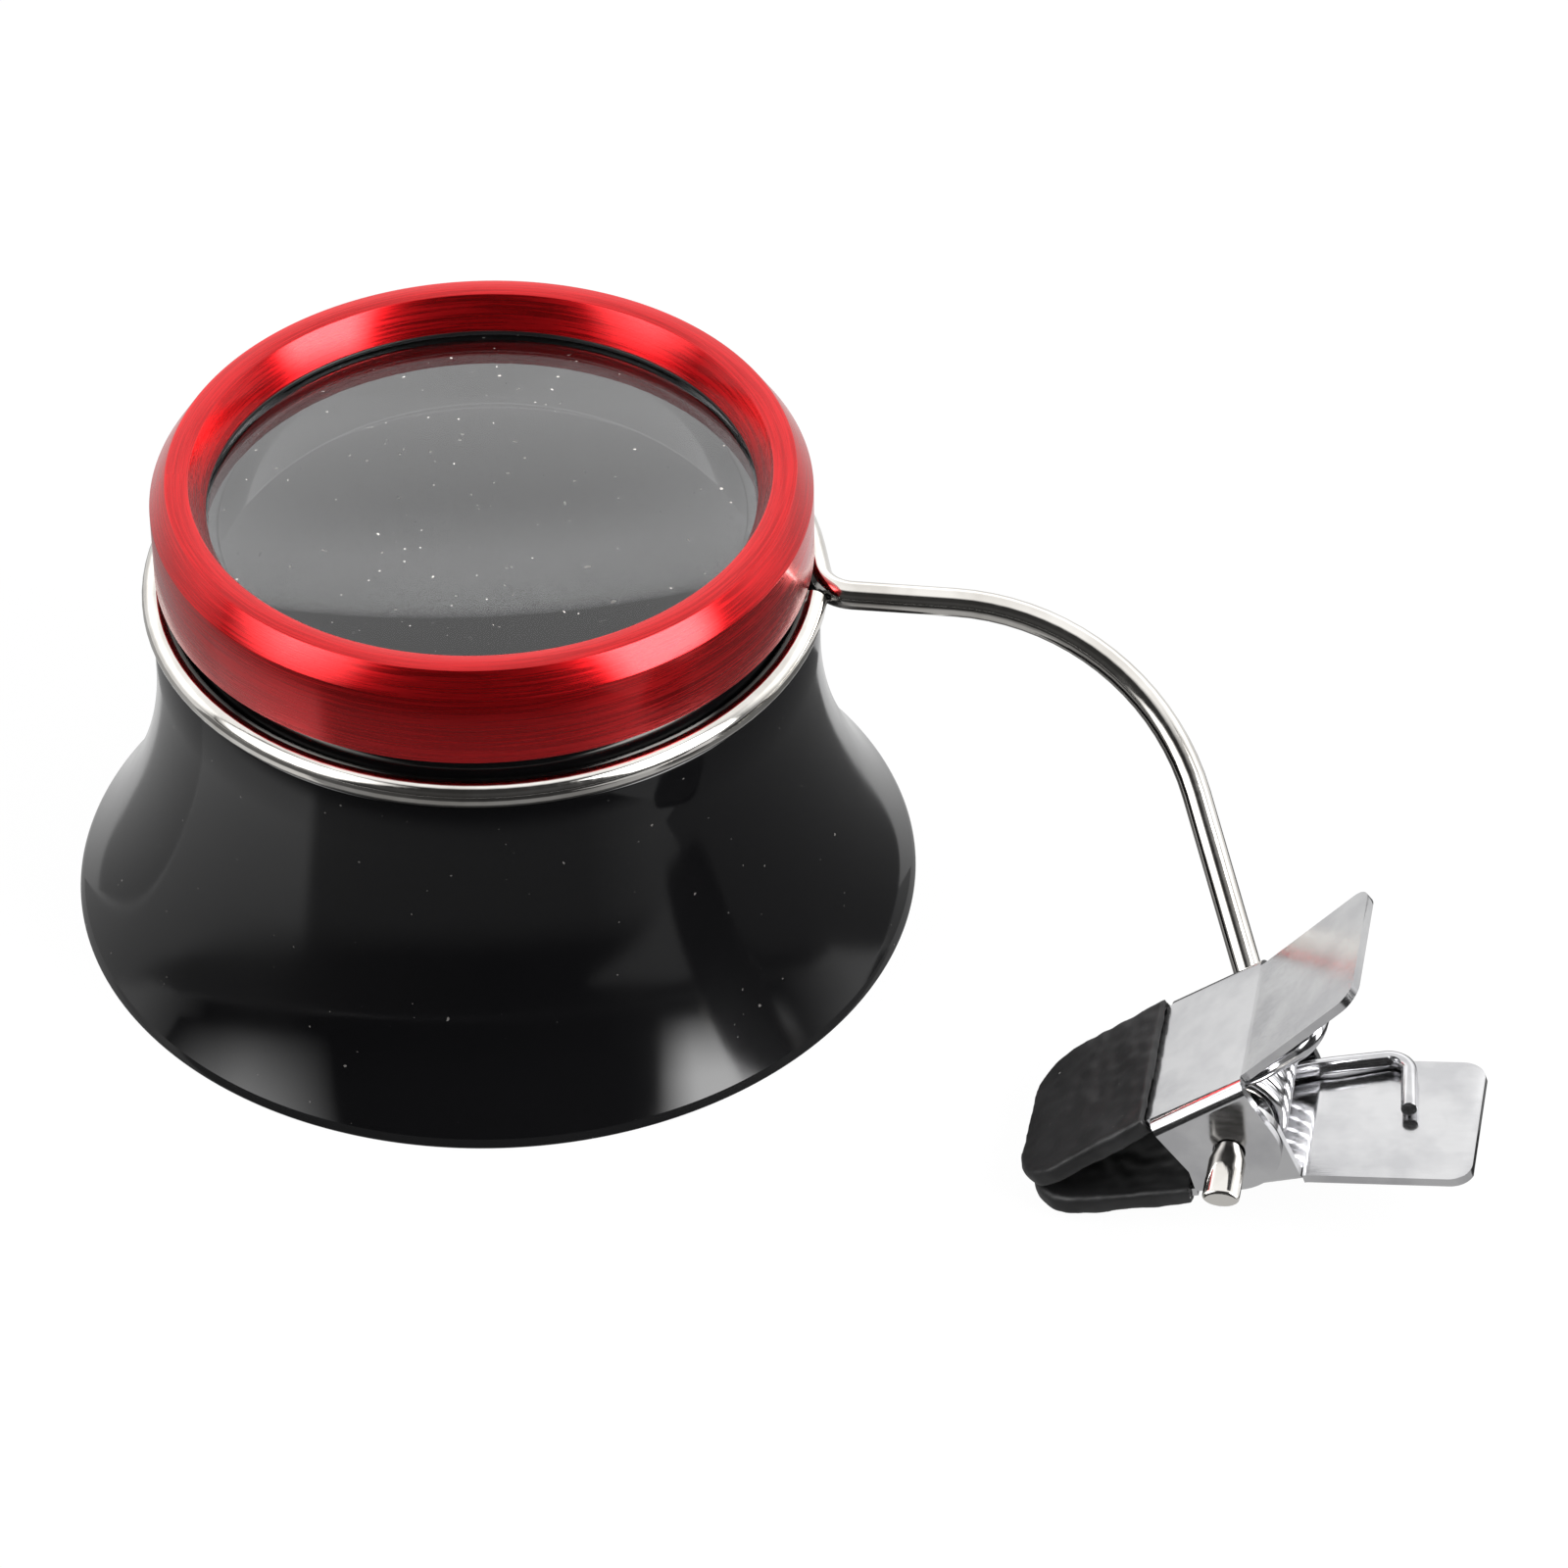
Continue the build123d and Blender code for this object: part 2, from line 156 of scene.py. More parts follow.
def blend_of(first: str, second: str) -> dict[str | int, Any]:
    """Settings that mix two hex colours.

    Args:
        first: the colour at a share of 0.
        second: the colour at a share of 1.

    Returns:
        The settings by property name or input number.
    """
    return {"data_type": "RGBA", FIRST_COLOUR: linear(first), SECOND_COLOUR: linear(second)}


def fresh_material(name: str) -> tuple[bpy.types.Material, bpy.types.NodeTree]:
    """Makes an empty node material.

    Args:
        name: what the material is.

    Returns:
        The material and its cleared node tree.
    """
    material = bpy.data.materials.new(name)
    material.use_nodes = True
    material.node_tree.nodes.clear()
    return material, material.node_tree


def object_noise(
    tree: bpy.types.NodeTree,
    size_mm: float,
    detail: float,
    given: tuple[float, float] | None = None,
    wanted: tuple[float, float] = (0.0, 1.0),
) -> bpy.types.Node:
    """Adds a noise on Object coordinates, at a real size.

    Args:
        tree: the node tree.
        size_mm: the size of one blotch of the noise.
        detail: the noise's detail.
        given: the part of the noise's range to stretch, or none to leave it as it is.
        wanted: the range that the part is stretched to.

    Returns:
        The node whose first output is the value.
    """
    place = add_node(tree, "ShaderNodeTexCoord")
    grain = add_node(
        tree,
        "ShaderNodeTexNoise",
        {"Scale": 1 / (size_mm * MM), "Detail": detail},
        {"Vector": place.outputs["Object"]},
    )
    if given is None:
        return grain
    return add_node(tree, "ShaderNodeMapRange", spread(given, wanted), {"Value": grain})


@dataclass(frozen=True)
class MouldedPlastic:
    """Injection-moulded ABS, black and glossy: a deep black under a clean, slightly wavy gloss."""

    colour: str = "#070708"
    dust_colour: str = "#5c5a58"
    # The size of the dust's noise, of which only the highest peaks show
    dust_mm: float = 0.34
    dust_span: tuple[float, float] = (0.785, 0.81)
    smear_mm: float = 9.0
    smear_span: tuple[float, float] = (0.35, 0.7)
    roughness: tuple[float, float] = (0.07, 0.16)
    wave_mm: float = 3.2
    wave_depth_mm: float = 0.02
    wave_strength: float = 0.25
    # ABS has about 1.54, and this value mirrors the studio a little less
    ior: float = 1.43

    def build(self) -> bpy.types.Material:
        """Makes the material."""
        material, tree = fresh_material("moulded_black_abs")
        dust = object_noise(tree, self.dust_mm, 1.0, self.dust_span)
        body = add_node(tree, "ShaderNodeMix", blend_of(self.colour, self.dust_colour), {0: dust})
        wave = add_node(
            tree,
            "ShaderNodeBump",
            {"Distance": self.wave_depth_mm * MM, "Strength": self.wave_strength},
            {"Height": object_noise(tree, self.wave_mm, 1.0)},
        )
        shader = add_node(
            tree,
            "ShaderNodeBsdfPrincipled",
            {"IOR": self.ior},
            {
                "Base Color": body.outputs[MIXED_COLOUR],
                "Roughness": object_noise(
                    tree, self.smear_mm, 4.0, self.smear_span, self.roughness
                ),
                "Normal": wave,
            },
        )
        add_node(tree, "ShaderNodeOutputMaterial", links={"Surface": shader})
        return material


@dataclass(frozen=True)
class TurnedAnodising:
    """Red anodised aluminium, turned on a lathe.

    The dyed metal lies under a clear oxide, and the lathe's fine rings draw its highlights out into
    fans. Real rings are about 0.05 mm apart, and they are drawn three times as coarse to show.
    """

    colour: str = "#cf1219"
    deep_colour: str = "#aa080f"
    ring_mm: float = 0.15
    drift_mm: float = 0.4
    colour_span: tuple[float, float] = (0.3, 0.7)
    gloss_span: tuple[float, float] = (0.38, 0.62)
    roughness: tuple[float, float] = (0.22, 0.33)
    groove_mm: float = 0.01
    groove_strength: float = 0.55

    def build(self) -> bpy.types.Material:
        """Makes the material."""
        material, tree = fresh_material("turned_red_anodised_aluminium")
        grain = self.rings(tree)
        dye = add_node(tree, "ShaderNodeMapRange", spread(self.colour_span), {"Value": grain})
        body = add_node(tree, "ShaderNodeMix", blend_of(self.deep_colour, self.colour), {0: dye})
        gloss = add_node(
            tree, "ShaderNodeMapRange", spread(self.gloss_span, self.roughness), {"Value": grain}
        )
        grooves = add_node(
            tree,
            "ShaderNodeBump",
            {"Distance": self.groove_mm * MM, "Strength": self.groove_strength},
            {"Height": grain},
        )
        around = add_node(tree, "ShaderNodeTangent", {"direction_type": "RADIAL", "axis": "Z"})
        shader = add_node(
            tree,
            "ShaderNodeBsdfPrincipled",
            {
                "Metallic": 0.92,
                "Anisotropic": 0.5,
                "Anisotropic Rotation": 0.25,
                "Coat Weight": 0.34,
                "Coat Roughness": 0.12,
                "Coat IOR": 1.55,
            },
            {
                "Base Color": body.outputs[MIXED_COLOUR],
                "Roughness": gloss,
                "Normal": grooves,
                "Tangent": around,
            },
        )
        add_node(tree, "ShaderNodeOutputMaterial", links={"Surface": shader})
        return material

    def rings(self, tree: bpy.types.NodeTree) -> bpy.types.Node:
        """Adds the lathe's rings: fine over radius and height, and long over the angle.

        Args:
            tree: the material's node tree.

        Returns:
            The node whose first output is the rings' value.
        """
        place = add_node(tree, "ShaderNodeTexCoord")
        split = add_node(tree, "ShaderNodeSeparateXYZ", links={0: place.outputs["Object"]})
        flat = add_node(
            tree, "ShaderNodeCombineXYZ", links={"X": split.outputs["X"], "Y": split.outputs["Y"]}
        )
        radius = add_node(tree, "ShaderNodeVectorMath", {"operation": "LENGTH"}, {0: flat})
        angle = add_node(
            tree,
            "ShaderNodeMath",
            {"operation": "ARCTAN2"},
            {0: split.outputs["Y"], 1: split.outputs["X"]},
        )
        drift = add_node(
            tree, "ShaderNodeMath", {"operation": "MULTIPLY", 1: self.drift_mm * MM}, {0: angle}
        )
        along = add_node(
            tree,
            "ShaderNodeCombineXYZ",
            links={"X": radius.outputs["Value"], "Y": split.outputs["Z"], "Z": drift},
        )
        grain = add_node(
            tree,
            "ShaderNodeTexNoise",
            {"Scale": 1 / (self.ring_mm * MM), "Detail": 3.0, "Roughness": 0.65},
            {"Vector": along},
        )
        return grain


@dataclass(frozen=True)
class PolishedGlass:
    """Polished crown glass, uncoated: clear, with hard reflections and a few specks of dust."""

    # Crown glass has 1.52, and this value mirrors the studio a little more
    ior: float = 1.6
    tint: str = "#f4f5f6"
    dust_colour: str = "#d9d6d0"
    dust_mm: float = 0.42
    dust_span: tuple[float, float] = (0.775, 0.79)
    dust_cover: float = 0.8

    def build(self) -> bpy.types.Material:
        """Makes the material."""
        material, tree = fresh_material("polished_crown_glass")
        glass = add_node(
            tree,
            "ShaderNodeBsdfPrincipled",
            {
                "Base Color": linear(self.tint),
                "Roughness": 0.0,
                "IOR": self.ior,
                "Transmission Weight": 1.0,
            },
        )
        speck = add_node(
            tree,
            "ShaderNodeBsdfPrincipled",
            {"Base Color": linear(self.dust_colour), "Roughness": 0.9},
        )
        dust = object_noise(tree, self.dust_mm, 1.0, self.dust_span, (0.0, self.dust_cover))
        dusty = add_node(tree, "ShaderNodeMixShader", links={0: dust, 1: glass, 2: speck})
        add_node(tree, "ShaderNodeOutputMaterial", links={"Surface": dusty})
        return material


@dataclass(frozen=True)
class BlackRubber:
    """Moulded or dipped rubber: a soft dark grey sheen, finely uneven, with pale specks of dust."""

    name: str = "dipped_black_rubber"
    colour: str = "#0f0f10"
    worn_colour: str = "#1b1b1c"
    roughness: float = 0.48
    grain_mm: float = 0.3
    grain_depth_mm: float = 0.012
    grain_strength: float = 0.4
    blotch_mm: float = 2.4
    blotch_span: tuple[float, float] = (0.4, 0.65)
    dust_colour: str = "#8f8d8a"
    dust_mm: float = 0.23
    dust_start: float = 0.8
    dust_width: float = 0.02
    ior: float = 1.48

    def build(self) -> bpy.types.Material:
        """Makes the material."""
        material, tree = fresh_material(self.name)
        blotch = object_noise(tree, self.blotch_mm, 3.0, self.blotch_span)
        body = add_node(
            tree, "ShaderNodeMix", blend_of(self.colour, self.worn_colour), {0: blotch}
        )
        dust_span = (self.dust_start, self.dust_start + self.dust_width)
        dust = object_noise(tree, self.dust_mm, 1.0, dust_span)
        dusty = add_node(
            tree,
            "ShaderNodeMix",
            blend_of(self.colour, self.dust_colour),
            {0: dust, FIRST_COLOUR: body.outputs[MIXED_COLOUR]},
        )
        grain = add_node(
            tree,
            "ShaderNodeBump",
            {"Distance": self.grain_depth_mm * MM, "Strength": self.grain_strength},
            {"Height": object_noise(tree, self.grain_mm, 2.0)},
        )
        shader = add_node(
            tree,
            "ShaderNodeBsdfPrincipled",
            {"Roughness": self.roughness, "IOR": self.ior},
            {"Base Color": dusty.outputs[MIXED_COLOUR], "Normal": grain},
        )
        add_node(tree, "ShaderNodeOutputMaterial", links={"Surface": shader})
        return material


@dataclass(frozen=True)
class BrightMetal:
    """Nickel-plated steel, as wire or stamped sheet: a near-mirror with faint scratches."""

    name: str
    colour: str
    dull_colour: str
    roughness: tuple[float, float]
    # The noise's scale along each axis, and its size: coarser than real hair scratches, which
    # are too fine to show
    scratch: tuple[float, float, float]
    scratch_mm: float
    turn: tuple[float, float, float] = (0.0, 0.0, 0.0)
    bow: tuple[float, float, float] = (0.0, 0.0, 0.0)
    scratch_depth_mm: float = 0.004
    scratch_strength: float = 0.25
    scratch_span: tuple[float, float] = (0.35, 0.75)
    cloud_mm: float = 2.6
    cloud_span: tuple[float, float] = (0.4, 0.65)

    def build(self) -> bpy.types.Material:
        """Makes the material."""
        material, tree = fresh_material(self.name)
        place = add_node(tree, "ShaderNodeTexCoord")
        turned = add_node(
            tree,
            "ShaderNodeMapping",
            {"Rotation": self.turn, "vector_type": "TEXTURE"},
            {"Vector": place.outputs["Object"]},
        )
        scaled = add_node(tree, "ShaderNodeMapping", {"Scale": self.scratch}, {"Vector": turned})
        grain = add_node(
            tree,
            "ShaderNodeTexNoise",
            {"Scale": 1 / (self.scratch_mm * MM), "Detail": 4.0},
            {"Vector": scaled},
        )
        scratches = add_node(
            tree,
            "ShaderNodeBump",
            {"Distance": self.scratch_depth_mm * MM, "Strength": self.scratch_strength},
            {"Height": grain},
        )
        # A pressed sheet is never quite flat, so its mirror images lie a few degrees off
        bowed = add_node(
            tree, "ShaderNodeVectorMath", {"operation": "ADD", 1: self.bow}, {0: scratches}
        )
        facing = add_node(tree, "ShaderNodeVectorMath", {"operation": "NORMALIZE"}, {0: bowed})
        cloud = object_noise(tree, self.cloud_mm, 3.0, self.cloud_span)
        body = add_node(
            tree, "ShaderNodeMix", blend_of(self.colour, self.dull_colour), {0: cloud}
        )
        gloss = add_node(
            tree,
            "ShaderNodeMapRange",
            spread(self.scratch_span, self.roughness),
            {"Value": grain},
        )
        shader = add_node(
            tree,
            "ShaderNodeBsdfPrincipled",
            {"Metallic": 1.0},
            {"Base Color": body.outputs[MIXED_COLOUR], "Roughness": gloss, "Normal": facing},
        )
        add_node(tree, "ShaderNodeOutputMaterial", links={"Surface": shader})
        return material


def spun(outline: list[tuple[float, float]], steps: int) -> bmesh.types.BMesh:
    """Spins a closed outline round the optical axis.

    Args:
        outline: radius and height of each corner, in millimetres.
        steps: how many steps make the full turn.

    Returns:
        The closed mesh, in metres.
    """
    mesh = bmesh.new()
    verts = [mesh.verts.new((r * MM, 0, z * MM)) for r, z in outline]
    edges = [mesh.edges.new(pair) for pair in zip(verts, verts[1:] + verts[:1])]
    bmesh.ops.spin(
        mesh,
        geom=verts + edges,
        cent=(0, 0, 0),
        axis=(0, 0, 1),
        dvec=(0, 0, 0),
        angle=FULL_TURN,
        steps=steps,
        use_merge=True,
    )
    bmesh.ops.remove_doubles(mesh, verts=mesh.verts, dist=MERGE)
    bmesh.ops.recalc_face_normals(mesh, faces=mesh.faces)
    return mesh


def arc(
    start: tuple[float, float], end: tuple[float, float], centre: tuple[float, float], count: int
) -> list[tuple[float, float]]:
    """Points of the shorter arc between two points.

    Args:
        start: the first point, which is part of the result.
        end: the last point, which is part of the result.
        centre: the arc's centre.
        count: how many pieces the arc is cut into.

    Returns:
        The arc's points.
    """
    radius = math.dist(start, centre)
    first = math.atan2(start[1] - centre[1], start[0] - centre[0])
    last = math.atan2(end[1] - centre[1], end[0] - centre[0])
    sweep = (last - first + math.pi) % FULL_TURN - math.pi
    angles = [first + sweep * i / count for i in range(count + 1)]
    return [(centre[0] + radius * math.cos(a), centre[1] + radius * math.sin(a)) for a in angles]


def soften(mesh: bmesh.types.BMesh, width_mm: float, segments: int, least_degrees: float) -> None:
    """Rounds the sharp edges of a mesh.

    Args:
        mesh: the mesh to change.
        width_mm: the rounding's width.
        segments: how many strips the rounding has.
        least_degrees: the least angle at which an edge counts as sharp.
    """
    least = math.radians(least_degrees)
    sharp = [e for e in mesh.edges if len(e.link_faces) == 2 and e.calc_face_angle(0.0) > least]
    bmesh.ops.bevel(
        mesh,
        geom=sharp,
        offset=width_mm * MM,
        offset_type="OFFSET",
        segments=segments,
        profile=0.5,
        affect="EDGES",
        material=-1,
        clamp_overlap=True,
    )


def copied(node: str, flat_degrees: float) -> bmesh.types.BMesh:
    """Copies a frame node's mesh, merged and with its flat areas joined.

    Args:
        node: the node's name.
        flat_degrees: the angle under which neighbouring faces are joined.

    Returns:
        The copy.
    """
    mesh = bmesh.new()
    mesh.from_mesh(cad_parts[node].data)
    bmesh.ops.remove_doubles(mesh, verts=mesh.verts, dist=COPY_MERGE)
    if flat_degrees:
        bmesh.ops.dissolve_limit(
            mesh, angle_limit=math.radians(flat_degrees), verts=mesh.verts, edges=mesh.edges
        )
    return mesh


def evaluated(thing: bpy.types.Object) -> bmesh.types.BMesh:
    """Takes an object's mesh as its modifiers or its curve's bevel leave it.

    Args:
        thing: the object, which is removed.

    Returns:
        The mesh.
    """
    bpy.context.scene.collection.objects.link(thing)
    bpy.context.view_layer.update()
    made = bpy.data.meshes.new_from_object(
        thing.evaluated_get(bpy.context.evaluated_depsgraph_get())
    )
    mesh = bmesh.new()
    mesh.from_mesh(made)
    bpy.data.objects.remove(thing)
    bpy.data.meshes.remove(made)
    return mesh


def tube(points: list[Vector], radius_mm: float, rings: int) -> bmesh.types.BMesh:
    """Makes a capped round wire along a line.

    Args:
        points: the wire's middle line, in millimetres.
        radius_mm: the wire's radius.
        rings: how finely the wire is rounded.

    Returns:
        The wire's mesh, in metres.
    """
    curve = bpy.data.curves.new("wire_line", "CURVE")
    curve.dimensions = "3D"
    curve.bevel_depth = radius_mm * MM
    curve.bevel_resolution = rings
    curve.use_fill_caps = True
    line = curve.splines.new("POLY")
    line.points.add(len(points) - 1)
    for place, point in zip(line.points, points):
        place.co = (*(point * MM), 1.0)
    mesh = evaluated(bpy.data.objects.new("wire_line", curve))
    bpy.data.curves.remove(curve)
    bmesh.ops.remove_doubles(mesh, verts=mesh.verts, dist=MERGE)
    bmesh.ops.recalc_face_normals(mesh, faces=mesh.faces)
    return mesh


def worn(
    mesh: bmesh.types.BMesh, grid_mm: float, passes: int, lumps: tuple[tuple[float, float], ...]
) -> bmesh.types.BMesh:
    """Meshes a solid anew on a fine grid, rounds it a little and makes it lumpy.

    Args:
        mesh: the closed mesh, which is freed.
        grid_mm: the grid's step.
        passes: how many times the new mesh is smoothed.
        lumps: the size and height of each kind of lump, in millimetres.

    Returns:
        The worn mesh.
    """
    data = bpy.data.meshes.new("worn_solid")
    mesh.to_mesh(data)
    mesh.free()
    holder = bpy.data.objects.new("worn_solid", data)
    remesh = holder.modifiers.new("grid", "REMESH")
    remesh.mode = "VOXEL"
    remesh.voxel_size = grid_mm * MM
    fine = evaluated(holder)
    bpy.data.meshes.remove(data)
    for _ in range(passes):
        bmesh.ops.smooth_vert(
            fine, verts=fine.verts, factor=0.5, use_axis_x=True, use_axis_y=True, use_axis_z=True
        )
    fine.normal_update()
    for vert in fine.verts:
        rise = sum(noise.noise(vert.co / (size * MM)) * height for size, height in lumps)
        vert.co += vert.normal * (rise * MM)
    return fine


def rounded_line(points: list[Vector], radii: list[float], pieces: int) -> list[Vector]:
    """Rounds the inner corners of a line of points.

    Args:
        points: the corners, in millimetres.
        radii: the rounding's radius at each inner corner.
        pieces: how many pieces each rounding is cut into.

    Returns:
        The rounded line's points.
    """
    line = [points[0]]
    for before, corner, after, radius in zip(points, points[1:], points[2:], radii):
        back, on = (before - corner).normalized(), (after - corner).normalized()
        half = back.angle(on) / 2
        inward = (back + on).normalized()
        centre = corner + inward * (radius / math.sin(half))
        reach = radius / math.tan(half)
        first, last = corner + back * reach - centre, corner + on * reach - centre
        for index in range(pieces + 1):
            line.append(centre + first.slerp(last, index / pieces) * radius)
    line.append(points[-1])
    return line


@dataclass(frozen=True)
class Bend:
    """Where a piece would bend, from its own body to another, between two points in metres."""

    other: Body
    start: Vector
    end: Vector


@dataclass(frozen=True)
class Piece:
    """How a finished mesh joins the scene."""

    name: str
    body: Body
    slot: Slot
    material: bpy.types.Material
    nodes: tuple[str, ...] = ()
    sharp_degrees: float = 40.0
    bend: Bend | None = None

    def place(self, mesh: bmesh.types.BMesh) -> None:
        """Makes the object, smooth but for its sharp edges, on its body, or left in place on no
        body when it has a bend.

        Args:
            mesh: the finished mesh, which is freed.
        """
        data = bpy.data.meshes.new(self.name)
        for face in mesh.faces:
            face.smooth = True
        mesh.to_mesh(data)
        mesh.free()
        data.set_sharp_from_angle(angle=math.radians(self.sharp_degrees))
        data.materials.append(self.material)
        thing = bpy.data.objects.new(self.name, data)
        bpy.context.scene.collection.objects.link(thing)
        if self.bend:
            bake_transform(thing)
        else:
            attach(thing, self.body.value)
        if self.nodes:
            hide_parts(*self.nodes)
        log.info("piece %s on %s, %d faces", self.name, self.body.value, len(data.polygons))


@dataclass
class Eyepiece:
    """Eyecup, lens, gasket and red ring, all spun round the optical axis."""

    bore: float = 12.6
    lens_radius: float = 13.55
    lens_edge: float = 1.6
    lens_curve: float = 100.0
    lower_curve: float = 280.0
    lens_top: float = 23.09
    seat: float = 13.6
    thread_root: float = 14.55
    thread_sink: float = 0.05
    thread_crest: float = 14.83
    thread_start: float = 0.12
    thread_pitch: float = 0.75
    thread_half_share: float = 0.42
    crest_span: tuple[float, float] = (0.75, 1.25)
    thread_turns: float = 2.3
    thread_steps: int = 96
    spigot_top: float = 23.14
    groove: float = 15.25
    step_height: float = 20.1
    shoulder_height: float = 17.55
    throat_height: float = 17.0
    neck: float = 16.25
    flare_height: float = 14.5
    flare_width: float = 4.7
    wall: float = 1.3
    gasket_bore: float = 13.3
    gasket_radius: float = 14.85
    gasket_floor: float = 23.16
    gasket_height: float = 0.22
    bezel_bore: float = 14.9
    bezel_radius: float = 16.0
    bezel_floor: float = 20.12
    bezel_shoulder: float = 23.85
    bezel_rim: float = 15.205
    bezel_face_bore: float = 14.08
    bezel_top: float = 25.1
    bevel_height: float = 1.62
    lip_floor: float = 23.4
    ledge_gap: float = 0.02
    cup_round: float = 0.13
    gasket_round: float = 0.04
    bezel_round: float = 0.055
    steps: int = 256
    flare_pieces: int = 40
    lens_pieces: int = 32
    # The pole of a spun face, which its merged doubles then close
    pole: float = 1e-6

    def cup_outline(self) -> list[tuple[float, float]]:
        """Radius and height of the eyecup's outline, with its flare as arcs."""
        curve = (self.flare_height**2 + self.flare_width**2) / (2 * self.flare_width)
        centre = (self.neck + curve, self.flare_height)
        rim = self.neck + self.flare_width
        inner_rim = centre[0] - math.sqrt((curve + self.wall) ** 2 - self.flare_height**2)
        ledge = self.lens_top - self.lens_edge - self.sagitta(self.lower_curve, self.lens_radius)
        ledge += self.sagitta(self.lower_curve, self.bore) - self.ledge_gap
        top = (self.neck, self.flare_height)
        inner_top = (self.neck - self.wall, self.flare_height)
        outer = arc((rim, 0.0), top, centre, self.flare_pieces)
        inner = arc(inner_top, (inner_rim, 0.0), centre, self.flare_pieces)
        return [
            *outer,
            (self.neck, self.shoulder_height),
            (self.groove, self.shoulder_height),
            (self.groove, self.step_height),
            (self.thread_root, self.step_height),
            (self.thread_root, self.spigot_top),
            (self.seat, self.spigot_top),
            (self.seat, ledge),
            (self.bore, ledge),
            (self.bore, self.throat_height),
            *inner,
        ]

    def sagitta(self, curve: float, radius: float) -> float:
        """Depth of a lens face of a given curve over a circle of a radius."""
        return curve - math.sqrt(curve**2 - radius**2)

    def build_cup(self, material: bpy.types.Material) -> None:
        """Spins the eyecup and rounds its edges.

        Args:
            material: the cup's finish.
        """
        mesh = spun(self.cup_outline(), self.steps)
        soften(mesh, self.cup_round, segments=3, least_degrees=25)
        Piece("cup_shell", Body.EYEPIECE, Slot.BLACK_PLASTIC, material, ("eyecup",)).place(mesh)

    def build_thread(self, material: bpy.types.Material) -> None:
        """Winds the screw thread's ridge round the spigot.

        Args:
            material: the cup's finish.
        """
        steps = round(self.thread_steps * self.thread_turns)
        mesh = bmesh.new()
        low = self.step_height + self.thread_start
        half = self.thread_pitch * self.thread_half_share
        root = self.thread_root - self.thread_sink
        crest_low, crest_high = self.crest_span
        corners = [
            (root, low),
            (self.thread_crest, low + half * crest_low),
            (self.thread_crest, low + half * crest_high),
            (root, low + 2 * half),
        ]
        verts = [mesh.verts.new((r * MM, 0, z * MM)) for r, z in corners]
        section = mesh.faces.new(verts)
        bmesh.ops.spin(
            mesh,
            geom=[section, *section.edges, *verts],
            cent=(0, 0, 0),
            axis=(0, 0, 1),
            dvec=(0, 0, self.thread_pitch * MM * self.thread_turns / steps),
            angle=FULL_TURN * self.thread_turns,
            steps=steps,
        )
        bmesh.ops.recalc_face_normals(mesh, faces=mesh.faces)
        Piece("spigot_thread", Body.EYEPIECE, Slot.BLACK_PLASTIC, material).place(mesh)

    def build_lens(self, material: bpy.types.Material) -> None:
        """Spins the lens, whose lower face is the flatter one.

        Args:
            material: the lens's finish.
        """
        top_edge = (self.lens_radius, self.lens_top)
        low_edge = (self.lens_radius, self.lens_top - self.lens_edge)
        apex = top_edge[1] + self.sagitta(self.lens_curve, self.lens_radius)
        nadir = low_edge[1] - self.sagitta(self.lower_curve, self.lens_radius)
        above, below = (0.0, nadir + self.lower_curve), (0.0, apex - self.lens_curve)
        upper = arc((self.pole, apex), top_edge, below, self.lens_pieces)
        lower = arc(low_edge, (self.pole, nadir), above, self.lens_pieces)
        mesh = spun([*upper, *lower], self.steps)
        Piece("lens_glass_disc", Body.EYEPIECE, Slot.LENS_GLASS, material, ("lens",)).place(mesh)

    def build_gasket(self, material: bpy.types.Material) -> None:
        """Spins the black ring between the bezel and the lens.

        Args:
            material: the gasket's finish.
        """
        top = self.gasket_floor + self.gasket_height
        mesh = spun(
            [
                (self.gasket_bore, self.gasket_floor),
                (self.gasket_radius, self.gasket_floor),
                (self.gasket_radius, top),
                (self.gasket_bore, top),
            ],
            self.steps,
        )
        soften(mesh, self.gasket_round, segments=3, least_degrees=25)
        Piece(
            "gasket_band", Body.GASKET_RING, Slot.GASKET_RUBBER, material, ("lens_gasket",)
        ).place(mesh)

    def build_bezel(self, material: bpy.types.Material) -> None:
        """Spins the red ring, with its edges just broken.

        Args:
            material: the ring's finish.
        """
        mesh = spun(
            [
                (self.bezel_bore, self.bezel_floor),
                (self.bezel_radius, self.bezel_floor),
                (self.bezel_radius, self.bezel_shoulder),
                (self.bezel_rim, self.bezel_top),
                (self.bezel_face_bore, self.bezel_top),
                (self.gasket_bore, self.bezel_top - self.bevel_height),
                (self.gasket_bore, self.lip_floor),
                (self.bezel_bore, self.lip_floor),
            ],
            self.steps,
        )
        soften(mesh, self.bezel_round, segments=3, least_degrees=20)
        Piece(
            "bezel_ring",
            Body.SCREW_RING,
            Slot.RED_ANODISED,
            material,
            ("bezel",),
            sharp_degrees=20.0,
        ).place(mesh)


@dataclass
class WireArm:
    """Hoop, arm and pin: the frame's own wire, smoothed."""

    sharp_degrees: float = 35.0

    def build(self, material: bpy.types.Material) -> None:
        """Copies the frame's wire and dresses it.

        Args:
            material: the wire's finish.
        """
        nodes = ("wire_arm",)
        Piece(
            "hoop_arm_wire", Body.WIRE, Slot.BRIGHT_WIRE, material, nodes, self.sharp_degrees
        ).place(copied("wire_arm", 0))


